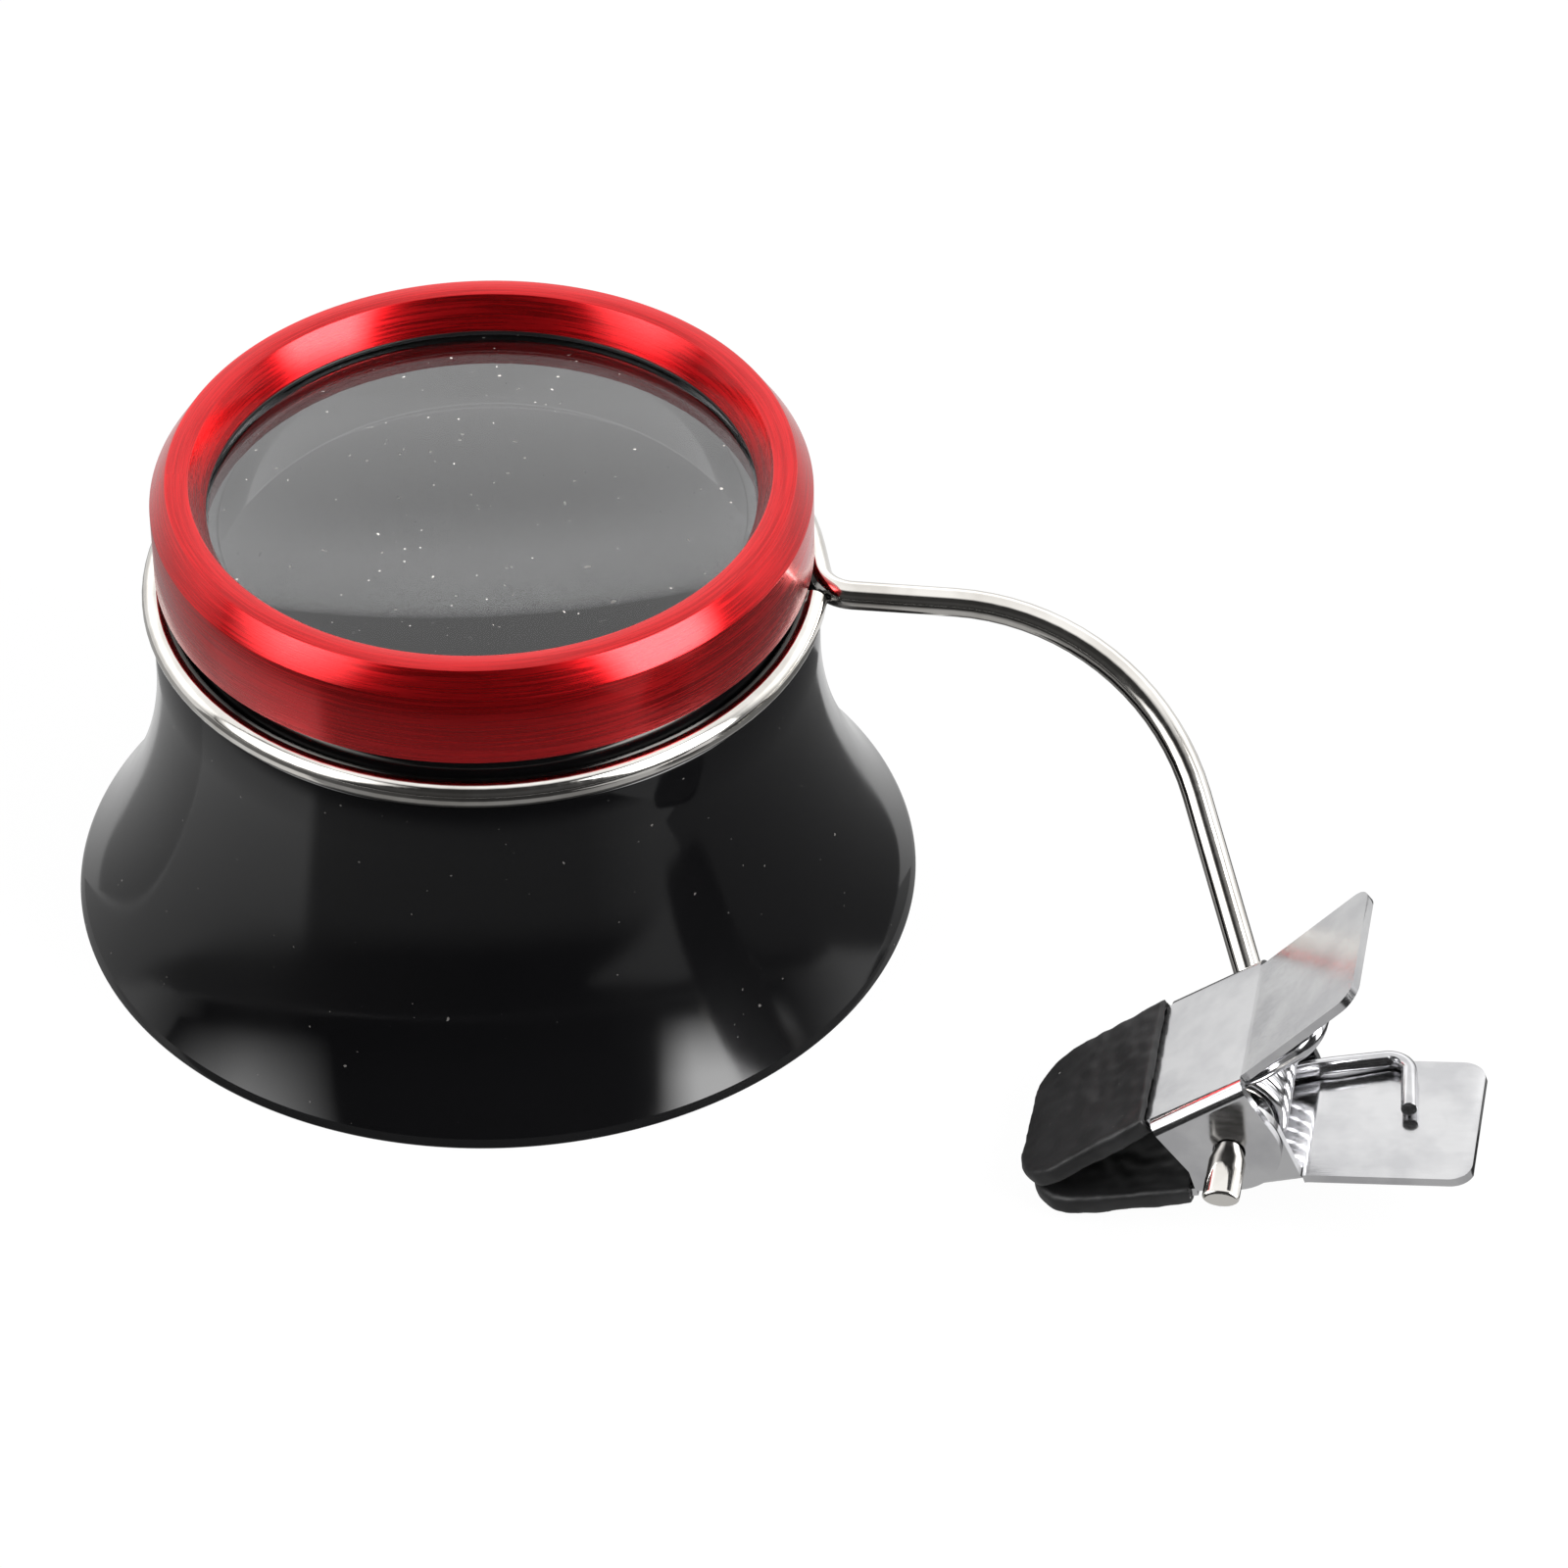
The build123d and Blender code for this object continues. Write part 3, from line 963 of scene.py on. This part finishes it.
@dataclass
class SpringClip:
    """Two stamped levers with rubber tips, and the torsion spring round the pin."""

    pivot: tuple[float, float, float] = (35.8, -23.61, 6.03)
    yaw: float = 10.0
    upper_slope: float = 37.38
    lower_slope: float = 17.82
    wire_radius: float = 0.4
    coil_radius: float = 2.1
    coil_pitch: float = 0.86
    whole_turns: int = 6
    samples_per_turn: int = 48
    sheet_middle: float = 2.835
    sheet: float = 0.45
    tab_place: float = 2.9
    tab_angle: float = 12.0
    leg_run: float = 3.3
    leg_bend: float = 3.0
    leg_gap: float = 0.02
    hook_place: float = 4.05
    hook_half_span: float = 3.95
    hook_length: float = 3.8
    hook_lean: float = 0.4
    hook_bend: float = 1.0
    bend_pieces: int = 14
    wire_rings: int = 8
    cut_round: float = 0.1
    sheet_round: float = 0.05
    rubber_grid: float = 0.12
    rubber_passes: int = 3
    rubber_lumps: tuple[tuple[float, float], ...] = ((2.6, 0.1), (0.7, 0.05))

    def clip_frame(self) -> Matrix:
        """Place of the clip's own frame, in millimetres: X rearward and Y along the pin."""
        return Matrix.Translation(self.pivot) @ Matrix.Rotation(math.radians(-self.yaw), 4, "Z")

    def leg(self, slope: float, side: int, upper: bool) -> list[Vector]:
        """Corners of a spring leg in the clip's frame, from the coil to the hook's cut end.

        Args:
            slope: the slope of the leg's lever.
            side: 1 for the far side of the clip and -1 for the near side.
            upper: whether the leg lies under the upper tab.

        Returns:
            The knee, the hook's corner and its end.
        """
        tab = math.radians(self.tab_angle)
        lift = self.sheet / 2 + self.wire_radius + self.leg_gap
        hook_x = self.tab_place + self.hook_place * math.cos(tab) + lift * math.sin(tab)
        hook_z = self.sheet_middle + self.hook_place * math.sin(tab) - lift * math.cos(tab)
        coil_half = self.turns() * self.coil_pitch / 2
        rise = self.coil_pitch / (self.coil_radius * FULL_TURN)
        flip = 1 if upper else -1
        corners = [
            (self.leg_run, side * (coil_half + rise * self.leg_run), flip * self.coil_radius),
            (hook_x, side * self.hook_half_span, flip * hook_z),
            (
                hook_x + self.hook_lean,
                side * (self.hook_half_span - self.hook_length),
                flip * hook_z,
            ),
        ]
        turn = Matrix.Rotation(math.radians(-slope), 3, "Y")
        return [turn @ Vector(corner) for corner in corners]

    def turns(self) -> float:
        """Turns of the coil between its two legs."""
        start = self.upper_slope + 90
        end = self.lower_slope + 270 + 360 * self.whole_turns
        return (end - start) / 360

    def spring_lines(self) -> tuple[list[Vector], list[Vector], list[Vector]]:
        """Middle lines of the upper leg, the coil and the lower leg, in millimetres."""
        first = math.radians(self.upper_slope + 90)
        coil_half = self.turns() * self.coil_pitch / 2
        count = round(self.turns() * self.samples_per_turn)
        coil = []
        for index in range(count + 1):
            share = index / count
            angle = first + share * self.turns() * FULL_TURN
            along, rise = math.cos(angle), math.sin(angle)
            across = coil_half * (2 * share - 1)
            coil.append(Vector((self.coil_radius * along, across, self.coil_radius * rise)))
        upper = [*reversed(self.leg(self.upper_slope, -1, True)), coil[0]]
        lower = [coil[-1], *self.leg(self.lower_slope, 1, False)]
        lead_in = rounded_line(upper, [self.hook_bend, self.leg_bend], self.bend_pieces)
        lead_out = rounded_line(lower, [self.leg_bend, self.hook_bend], self.bend_pieces)
        place = self.clip_frame()
        # Each leg runs one step into the coil, so no seam shows between them
        parts = ([*lead_in, coil[1]], coil, [coil[-2], *lead_out])
        return tuple([place @ point for point in part] for part in parts)

    def build_spring(self, material: bpy.types.Material) -> None:
        """Winds the torsion spring close, with its two hooked legs.

        Args:
            material: the spring's finish.
        """
        upper, coil, lower = self.spring_lines()
        # The coil's span along the pin between its legs, kept with the piece as its bend
        reach = self.turns() * self.coil_pitch / 2 - self.wire_radius
        start, end = (self.clip_frame() @ Vector((0, side * reach, 0)) * MM for side in (-1, 1))
        bend = Bend(Body.LOWER_JAW, start, end)
        for name, body, line, bent in (
            ("spring_upper_leg", Body.UPPER_JAW, upper, None),
            ("spring_coil", Body.UPPER_JAW, coil, bend),
            ("spring_lower_leg", Body.LOWER_JAW, lower, None),
        ):
            mesh = tube(line, self.wire_radius, self.wire_rings)
            soften(mesh, self.cut_round, segments=3, least_degrees=60)
            nodes = ("torsion_spring",)
            Piece(name, body, Slot.SPRING_WIRE, material, nodes, 50.0, bent).place(mesh)

    def build_levers(self, upper: bpy.types.Material, lower: bpy.types.Material) -> None:
        """Copies both sheet levers and breaks their stamped edges.

        Args:
            upper: the upper lever's finish.
            lower: the lower lever's finish.
        """
        for node, body, material in (
            ("upper_lever", Body.UPPER_JAW, upper), ("lower_lever", Body.LOWER_JAW, lower)
        ):
            mesh = copied(node, 0.5)
            soften(mesh, self.sheet_round, segments=2, least_degrees=40)
            Piece(f"{node}_sheet", body, Slot.NICKEL_SHEET, material, (node,), 20.0).place(mesh)

    def build_sleeves(self, material: bpy.types.Material) -> None:
        """Copies both rubber sleeves, worn soft and a little lumpy.

        Args:
            material: the sleeves' finish.
        """
        for node, body in (("upper_sleeve", Body.UPPER_JAW), ("lower_sleeve", Body.LOWER_JAW)):
            mesh = worn(copied(node, 0), self.rubber_grid, self.rubber_passes, self.rubber_lumps)
            Piece(f"{node}_rubber", body, Slot.BLACK_RUBBER, material, (node,), 35.0).place(mesh)


@dataclass(frozen=True)
class Softbox:
    """A softbox that faces the object and is brightest in its middle.

    Its azimuth and elevation are the direction to it, its radiance is how bright its middle looks,
    where 1 is white, and its fade is the share of its half width over which its light dies out.
    """

    name: str
    azimuth: float
    elevation: float
    width: float
    height: float
    radiance: float
    fade: float


@dataclass(frozen=True)
class PaintedTableLight:
    """A glowing card that only reflections see, with an even level of painted light for a part of
    the table's top.
    """

    name: str
    level: float
    centre: tuple[float, float, float]
    size: tuple[float, float]


@dataclass
class Studio:
    """Floor, light and camera of the photograph."""

    camera_place: tuple[float, float, float] = (14.354, -302.239, 261.212)
    camera_pitch: float = 40.285
    camera_roll: float = -0.821
    focal_length: float = 183.1
    sensor: float = 36.0
    softbox_distance: float = 700.0
    softboxes: tuple[Softbox, ...] = (
        Softbox("right_softbox", 61.5, 31.0, 520.0, 720.0, 12.5, 0.5),
        Softbox("left_softbox", -66.0, 34.0, 640.0, 800.0, 9.5, 0.95),
    )
    wall_radiance: float = 1.9
    wall_span: tuple[float, float] = (-0.15, 0.2)
    wall_share: tuple[float, float] = (0.03, 1.0)
    wall_stops: tuple[tuple[float, float], ...] = (
        (0.0, 0.5), (0.1, 0.56), (0.27, 0.92), (0.5, 1.0), (0.64, 0.62), (0.82, 0.6), (0.97, 0.62)
    )
    ceiling_span: tuple[float, float] = (0.8, 0.97)
    ceiling_reach: float = 0.4
    floor_size: float = 4000.0
    # The floor lies just under the eyecup's rim, so the two never fight for the same place
    floor_drop: float = 0.03
    floor_colour: str = "#a8a8a8"
    seen_glow: float = 1.04
    seen_share: float = 0.93
    mirrored_glow: float = 0.85
    mirrored_share: float = 0.9
    # Levels of painted light on the table near the object, round by bearing: brightest to the front
    # left, with painted shade in front
    near_table_light_levels: tuple[tuple[float, float], ...] = (
        (0.0, 0.45),
        (0.25, 0.5),
        (0.365, 0.8),
        (0.372, 0.25),
        (0.57, 0.22),
        (0.62, 0.42),
        (1.0, 0.42),
    )
    # Levels of painted light on the table farther off, fading to dark
    far_table_light_levels: tuple[tuple[float, float], ...] = (
        (0.2, 0.25), (0.4, 0.07), (0.5, 0.03), (0.8, 0.05)
    )
    table_edge: tuple[float, float] = (40.0, 47.0)
    table_centre: tuple[float, float, float] = (0.0, -501.0, 0.4)
    table_size: float = 1000.0
    # Painted light and shade of the table for reflections, as glowing cards at set levels
    patches: tuple[PaintedTableLight, ...] = (
        PaintedTableLight("painted_table_light_before_clip", 0.55, (50.0, -46.0, 0.6), (44.0, 40.0)),
        PaintedTableLight("painted_table_light_left_of_cup", 0.4, (-46.0, 19.0, 0.6), (48.0, 40.0)),
        PaintedTableLight("painted_table_light_right_of_cup", 0.16, (41.0, -3.0, 0.7), (39.0, 36.0)),
    )

    def build_camera(self) -> None:
        """Makes the camera at the photograph's place and angle."""
        data = bpy.data.cameras.new("photograph_camera")
        data.lens = self.focal_length
        data.sensor_width = self.sensor
        data.clip_start = 0.01
        data.clip_end = 20.0
        camera = bpy.data.objects.new("photograph_camera", data)
        pitch, roll = math.radians(self.camera_pitch), math.radians(self.camera_roll)
        right = Vector((1, 0, 0))
        up = Vector((0, math.sin(pitch), math.cos(pitch)))
        back = Vector((0, -math.cos(pitch), math.sin(pitch)))
        turned_right = right * math.cos(roll) + up * math.sin(roll)
        turned_up = up * math.cos(roll) - right * math.sin(roll)
        basis = Matrix((turned_right, turned_up, back)).transposed().to_4x4()
        camera.matrix_world = Matrix.Translation(Vector(self.camera_place) * MM) @ basis
        bpy.context.scene.collection.objects.link(camera)
        bpy.context.scene.camera = camera

    def direction(self, azimuth: float, elevation: float) -> Vector:
        """Direction from the object: azimuth 0 is towards -Y and 90 towards +X."""
        a, e = math.radians(azimuth), math.radians(elevation)
        return Vector((math.sin(a) * math.cos(e), -math.cos(a) * math.cos(e), math.sin(e)))

    def build_softbox(self, box: Softbox) -> None:
        """Hangs a softbox as a glowing card that lights the object and shows in its gloss.

        Args:
            box: the softbox.
        """
        material, tree = fresh_material(box.name)
        place = add_node(tree, "ShaderNodeTexCoord")
        split = add_node(tree, "ShaderNodeSeparateXYZ", links={0: place.outputs["Object"]})
        fades = []
        for axis, size in (("X", box.width), ("Y", box.height)):
            off = add_node(
                tree, "ShaderNodeMath", {"operation": "ABSOLUTE"}, {0: split.outputs[axis]}
            )
            half = size * MM / 2
            fade = add_node(
                tree,
                "ShaderNodeMapRange",
                spread((half * (1 - box.fade), half), (1.0, 0.0)),
                {"Value": off},
            )
            fades.append(fade)
        faded = add_node(
            tree, "ShaderNodeMath", {"operation": "MULTIPLY"}, {0: fades[0], 1: fades[1]}
        )
        level = add_node(
            tree, "ShaderNodeMath", {"operation": "MULTIPLY", 1: box.radiance}, {0: faded}
        )
        glow = add_node(tree, "ShaderNodeEmission", {"Color": WHITE}, {"Strength": level})
        add_node(tree, "ShaderNodeOutputMaterial", links={"Surface": glow})
        card = self.card(box.name, (0.0, 0.0, 0.0), (box.width, box.height), material)
        away = self.direction(box.azimuth, box.elevation)
        turn = away.to_track_quat("Z", "Y").to_matrix().to_4x4()
        card.matrix_world = Matrix.Translation(away * self.softbox_distance * MM) @ turn
        card.visible_camera = False
        card.visible_transmission = False
        card.visible_shadow = False

    def build_world(self) -> None:
        """Makes the surroundings: white for the camera, a white wall behind and dark in front."""
        world = bpy.data.worlds.new("studio_surroundings")
        world.use_nodes = True
        tree = world.node_tree
        tree.nodes.clear()
        place = add_node(tree, "ShaderNodeTexCoord")
        split = add_node(tree, "ShaderNodeSeparateXYZ", links={0: place.outputs["Generated"]})
        overhead = add_node(
            tree,
            "ShaderNodeMapRange",
            spread(self.ceiling_span, (0.0, self.ceiling_reach)),
            {"Value": split.outputs["Z"]},
        )
        reach = add_node(
            tree, "ShaderNodeMath", {"operation": "ADD"}, {0: split.outputs["Y"], 1: overhead}
        )
        behind = add_node(
            tree, "ShaderNodeMapRange", spread(self.wall_span, self.wall_share), {"Value": reach}
        )
        heights = add_node(
            tree, "ShaderNodeValToRGB", {"stops": self.wall_stops}, {"Fac": split.outputs["Z"]}
        )
        wall = add_node(
            tree, "ShaderNodeMath", {"operation": "MULTIPLY"}, {0: behind, 1: heights}
        )
        brightness = add_node(
            tree, "ShaderNodeMath", {"operation": "MULTIPLY", 1: self.wall_radiance}, {0: wall}
        )
        lighting = add_node(
            tree, "ShaderNodeBackground", {"Color": WHITE}, {"Strength": brightness}
        )
        seen = add_node(tree, "ShaderNodeBackground", {"Color": WHITE, "Strength": 1.0})
        path = add_node(tree, "ShaderNodeLightPath")
        mixed = add_node(
            tree,
            "ShaderNodeMixShader",
            links={0: path.outputs["Is Camera Ray"], 1: lighting, 2: seen},
        )
        add_node(tree, "ShaderNodeOutputWorld", links={"Surface": mixed})
        bpy.context.scene.world = world

    def build_floor(self) -> None:
        """Lays the pale floor, near white to the camera but with the object's shadow."""
        material, tree = fresh_material("white_studio_floor")
        shown = add_node(tree, "ShaderNodeBsdfDiffuse", {"Color": linear(self.floor_colour)})
        path = add_node(tree, "ShaderNodeLightPath")
        # The floor is nearly even to reflections, and almost white to the camera
        for ray, glow, share in (
            ("Is Glossy Ray", self.mirrored_glow, self.mirrored_share),
            ("Is Camera Ray", self.seen_glow, self.seen_share),
        ):
            even = add_node(tree, "ShaderNodeEmission", {"Color": WHITE, "Strength": glow})
            weight = add_node(
                tree, "ShaderNodeMath", {"operation": "MULTIPLY", 1: share}, {0: path.outputs[ray]}
            )
            shown = add_node(tree, "ShaderNodeMixShader", links={0: weight, 1: shown, 2: even})
        add_node(tree, "ShaderNodeOutputMaterial", links={"Surface": shown})
        size = (self.floor_size, self.floor_size)
        self.card("studio_floor", (0.0, 0.0, -self.floor_drop), size, material)

    def build_table(self) -> None:
        """Lays a glowing card that only reflections see, with the table top's light and shade
        painted on it: a painted pool of light beside the object, darker farther off.
        """
        material, tree = fresh_material("painted_table_reflection")
        place = add_node(tree, "ShaderNodeTexCoord")
        split = add_node(tree, "ShaderNodeSeparateXYZ", links={0: place.outputs["Object"]})
        away = add_node(
            tree, "ShaderNodeVectorMath", {"operation": "LENGTH"}, {0: place.outputs["Object"]}
        )
        facing = add_node(
            tree, "ShaderNodeMath", {"operation": "MULTIPLY", 1: -1.0}, {0: split.outputs["Y"]}
        )
        bearing = add_node(
            tree, "ShaderNodeMath", {"operation": "ARCTAN2"}, {0: split.outputs["X"], 1: facing}
        )
        across = add_node(
            tree, "ShaderNodeMapRange", spread((-math.pi, math.pi)), {"Value": bearing}
        )
        near, far = (
            add_node(tree, "ShaderNodeValToRGB", {"stops": stops}, {"Fac": across})
            for stops in (self.near_table_light_levels, self.far_table_light_levels)
        )
        edge = (self.table_edge[0] * MM, self.table_edge[1] * MM)
        inside = add_node(
            tree, "ShaderNodeMapRange", spread(edge, (1.0, 0.0)), {"Value": away.outputs["Value"]}
        )
        level = add_node(
            tree,
            "ShaderNodeMix",
            {"data_type": "RGBA"},
            {0: inside, FIRST_COLOUR: far, SECOND_COLOUR: near},
        )
        # The glow is painted light and shade of the table, which only reflections see
        glow = add_node(
            tree, "ShaderNodeEmission", {"Strength": 1.0}, {"Color": level.outputs[MIXED_COLOUR]}
        )
        add_node(tree, "ShaderNodeOutputMaterial", links={"Surface": glow})
        size = (self.table_size, self.table_size)
        table = self.card("painted_table_reflection_card", self.table_centre, size, material)
        self.keep_to_reflections(table)

    def build_table_patches(self) -> None:
        """Lays glowing cards of painted light and shade, which only reflections see, for the table
        in front of the clip and beside the eyecup.
        """
        for patch in self.patches:
            material, tree = fresh_material(patch.name)
            glow = add_node(tree, "ShaderNodeEmission", {"Color": WHITE, "Strength": patch.level})
            add_node(tree, "ShaderNodeOutputMaterial", links={"Surface": glow})
            self.keep_to_reflections(self.card(patch.name, patch.centre, patch.size, material))

    def keep_to_reflections(self, card: bpy.types.Object) -> None:
        """Lets only reflections show a card.

        Args:
            card: the card.
        """
        card.visible_camera = False
        card.visible_diffuse = False
        card.visible_shadow = False
        card.visible_transmission = False

    def card(
        self,
        name: str,
        centre: tuple[float, float, float],
        size: tuple[float, float],
        material: bpy.types.Material,
    ) -> bpy.types.Object:
        """Lays a flat card of the stage.

        Args:
            name: the card's name.
            centre: its centre, in millimetres.
            size: its width and depth, in millimetres.
            material: its finish.

        Returns:
            The card's object.
        """
        mesh = bmesh.new()
        bmesh.ops.create_grid(mesh, x_segments=1, y_segments=1, size=0.5 * MM)
        bmesh.ops.scale(mesh, vec=(size[0], size[1], 1), verts=mesh.verts)
        bmesh.ops.translate(mesh, vec=Vector(centre) * MM, verts=mesh.verts)
        data = bpy.data.meshes.new(name)
        mesh.to_mesh(data)
        mesh.free()
        data.materials.append(material)
        thing = bpy.data.objects.new(name, data)
        bpy.context.scene.collection.objects.link(thing)
        return thing


def main() -> None:
    """Builds the object and the studio, in order."""
    logging.basicConfig(level=logging.INFO, format="%(message)s")
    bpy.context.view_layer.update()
    clip = SpringClip()
    plastic = MouldedPlastic().build()
    # Both levers' scratches run along their length, which the clip's yaw turns
    upper_sheet = BrightMetal(
        "stamped_nickel_plated_sheet",
        "#d2d2d3",
        "#c2c2c4",
        roughness=(0.1, 0.2),
        scratch=(0.25, 3.0, 1.0),
        scratch_mm=0.25,
        turn=(0.0, 0.0, math.radians(-clip.yaw)),
        bow=(0.1, 0.1, 0.0),
    )
    lower_sheet = replace(
        upper_sheet,
        name="lower_nickel_plated_sheet",
        colour="#d0d0d1",
        dull_colour="#bfbfc1",
        bow=(0.0, 0.0, 0.0),
    )
    wire = BrightMetal(
        "bright_drawn_wire", "#e6e3de", "#d2cec8", (0.06, 0.14), (1.0, 1.0, 1.0), 0.4
    ).build()
    spring_steel = BrightMetal(
        "plated_spring_wire", "#cfcfd1", "#b9b9bb", (0.1, 0.2), (1.0, 1.0, 1.0), 0.3
    ).build()
    gasket = BlackRubber(
        "satin_black_gasket", "#0b0b0c", "#101011", roughness=0.35, grain_mm=0.4, dust_start=0.9
    ).build()
    eyepiece = Eyepiece()
    eyepiece.build_cup(plastic)
    eyepiece.build_thread(plastic)
    eyepiece.build_lens(PolishedGlass().build())
    eyepiece.build_gasket(gasket)
    eyepiece.build_bezel(TurnedAnodising().build())
    WireArm().build(wire)
    clip.build_levers(upper_sheet.build(), lower_sheet.build())
    clip.build_sleeves(BlackRubber().build())
    clip.build_spring(spring_steel)
    studio = Studio()
    studio.build_camera()
    for box in studio.softboxes:
        studio.build_softbox(box)
    studio.build_world()
    studio.build_floor()
    studio.build_table()
    studio.build_table_patches()
    bpy.context.scene.view_settings.view_transform = "Standard"


if __name__ == "__main__":
    main()
